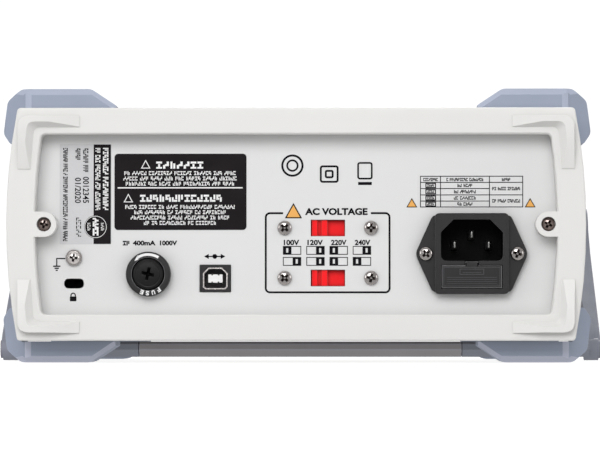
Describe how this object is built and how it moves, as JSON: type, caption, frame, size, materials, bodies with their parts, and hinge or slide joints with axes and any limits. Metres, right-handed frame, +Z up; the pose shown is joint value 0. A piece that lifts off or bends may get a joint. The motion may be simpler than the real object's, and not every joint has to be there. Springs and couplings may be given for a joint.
{
  "type": "bench multimeter",
  "caption": "Mains powered bench multimeter with corner bumpers, a folding handle, a recessed rear panel with inlet, fuse and data port, and a front with display, dial, keys and jacks.",
  "frame": {"origin": "on the bench surface, under the middle of the bounding box", "axes": "+Z up, +Y towards the rear panel, +X to the right of a person who faces the front"},
  "size_m": [0.283, 0.31, 0.121],
  "materials": {
    "white_case": "fine moulded texture, satin",
    "grey_panel": "satin painted plate with printed labels",
    "bumper": "satin moulded",
    "handle": "satin moulded",
    "black_plastic": "satin moulded",
    "red_plastic": "semi-gloss",
    "white_plastic": "satin",
    "steel": "nickel plated",
    "fuse": "plated caps on a ceramic tube",
    "display_glass": "clear, glossy",
    "board": "solder mask",
    "transformer": "varnished laminations",
    "key_grey": "satin"
  },
  "bodies": {
    "case": {"top_case": "white_case", "bottom_case": "white_case", "rear_frame": "white_case", "rear_panel": "grey_panel", "front_bezel": "white_case", "display_window": "display_glass", "display_module": "key_grey", "front_board": "board", "main_board": "board", "rotary_switch": "black_plastic", "transformer": "transformer", "bumper_rear_top_right": "bumper", "bumper_rear_top_left": "bumper", "bumper_rear_bottom_right": "bumper", "bumper_rear_bottom_left": "bumper", "bumper_front_top_right": "bumper", "bumper_front_top_left": "bumper", "bumper_front_bottom_right": "bumper", "bumper_front_bottom_left": "bumper", "inlet_body": "black_plastic", "inlet_pin_earth": "steel", "inlet_pin_line": "steel", "inlet_pin_neutral": "steel", "inlet_screw_left": "steel", "inlet_screw_right": "steel", "fuse_holder_body": "black_plastic", "usb_body": "black_plastic", "usb_tongue": "white_plastic", "ground_washer": "steel", "ground_screw": "steel", "selector_switch_upper": "black_plastic", "selector_switch_lower": "black_plastic", "selector_screw_upper_left": "steel", "selector_screw_upper_right": "steel", "selector_screw_lower_left": "steel", "selector_screw_lower_right": "steel", "frame_screw_left": "steel", "frame_screw_right": "steel", "handle_pivot_right": "handle", "handle_pivot_left": "handle", "input_jack_1": "red_plastic", "input_jack_2": "red_plastic", "input_jack_3": "red_plastic", "input_jack_4": "black_plastic"},
    "handle": {"handle_arm_right": "handle", "handle_arm_left": "handle", "handle_grip": "handle"},
    "dial": {"range_dial": "handle", "dial_shaft": "steel"},
    "power_button": {"power_button": "red_plastic"},
    "function_key_1": {"function_key_1": "key_grey"},
    "function_key_2": {"function_key_2": "key_grey"},
    "function_key_3": {"function_key_3": "key_grey"},
    "function_key_4": {"function_key_4": "key_grey"},
    "function_key_5": {"function_key_5": "key_grey"},
    "selector_slider_upper": {"selector_slider_upper": "red_plastic"},
    "selector_slider_lower": {"selector_slider_lower": "red_plastic"},
    "inlet_fuse_drawer": {"inlet_fuse_drawer": "black_plastic"},
    "fuse_link": {"fuse_link": "fuse"},
    "fuse_cap": {"fuse_cap": "black_plastic"}
  },
  "joints": [
    {"name": "handle_swing", "type": "hinge", "parent": "case", "child": "handle", "pos_m": [0, -0.084, 0.0605], "axis": [-1, 0, 0], "range_deg": [0, 300]},
    {"name": "dial_turn", "type": "hinge", "parent": "case", "child": "dial", "pos_m": [0.038, -0.145, 0.0625], "axis": [0, 1, 0], "range_deg": [0, 210]},
    {"name": "power_button_press", "type": "slide", "parent": "case", "child": "power_button", "axis": [0, 1, 0], "range_m": [0, 0.003], "stiffness_N_per_m": 300, "springref_m": -0.001},
    {"name": "function_key_1_press", "type": "slide", "parent": "case", "child": "function_key_1", "axis": [0, 1, 0], "range_m": [0, 0.0015], "stiffness_N_per_m": 200, "springref_m": -0.001},
    {"name": "function_key_2_press", "type": "slide", "parent": "case", "child": "function_key_2", "axis": [0, 1, 0], "range_m": [0, 0.0015], "stiffness_N_per_m": 200, "springref_m": -0.001},
    {"name": "function_key_3_press", "type": "slide", "parent": "case", "child": "function_key_3", "axis": [0, 1, 0], "range_m": [0, 0.0015], "stiffness_N_per_m": 200, "springref_m": -0.001},
    {"name": "function_key_4_press", "type": "slide", "parent": "case", "child": "function_key_4", "axis": [0, 1, 0], "range_m": [0, 0.0015], "stiffness_N_per_m": 200, "springref_m": -0.001},
    {"name": "function_key_5_press", "type": "slide", "parent": "case", "child": "function_key_5", "axis": [0, 1, 0], "range_m": [0, 0.0015], "stiffness_N_per_m": 200, "springref_m": -0.001},
    {"name": "selector_upper_slide", "type": "slide", "parent": "case", "child": "selector_slider_upper", "axis": [-1, 0, 0], "range_m": [0, 0.0074]},
    {"name": "selector_lower_slide", "type": "slide", "parent": "case", "child": "selector_slider_lower", "axis": [-1, 0, 0], "range_m": [0, 0.0074]},
    {"name": "fuse_drawer_slide", "type": "slide", "parent": "case", "child": "inlet_fuse_drawer", "axis": [0, 1, 0], "range_m": [0, 0.022]},
    {"name": "fuse_pull", "type": "slide", "parent": "case", "child": "fuse_link", "axis": [0, 1, 0], "range_m": [0, 0.045]},
    {"name": "fuse_cap_turn", "type": "hinge", "parent": "fuse_link", "child": "fuse_cap", "pos_m": [0.0649, 0.14, 0.0388], "axis": [0, 1, 0], "range_deg": [0, 45]}
  ]
}
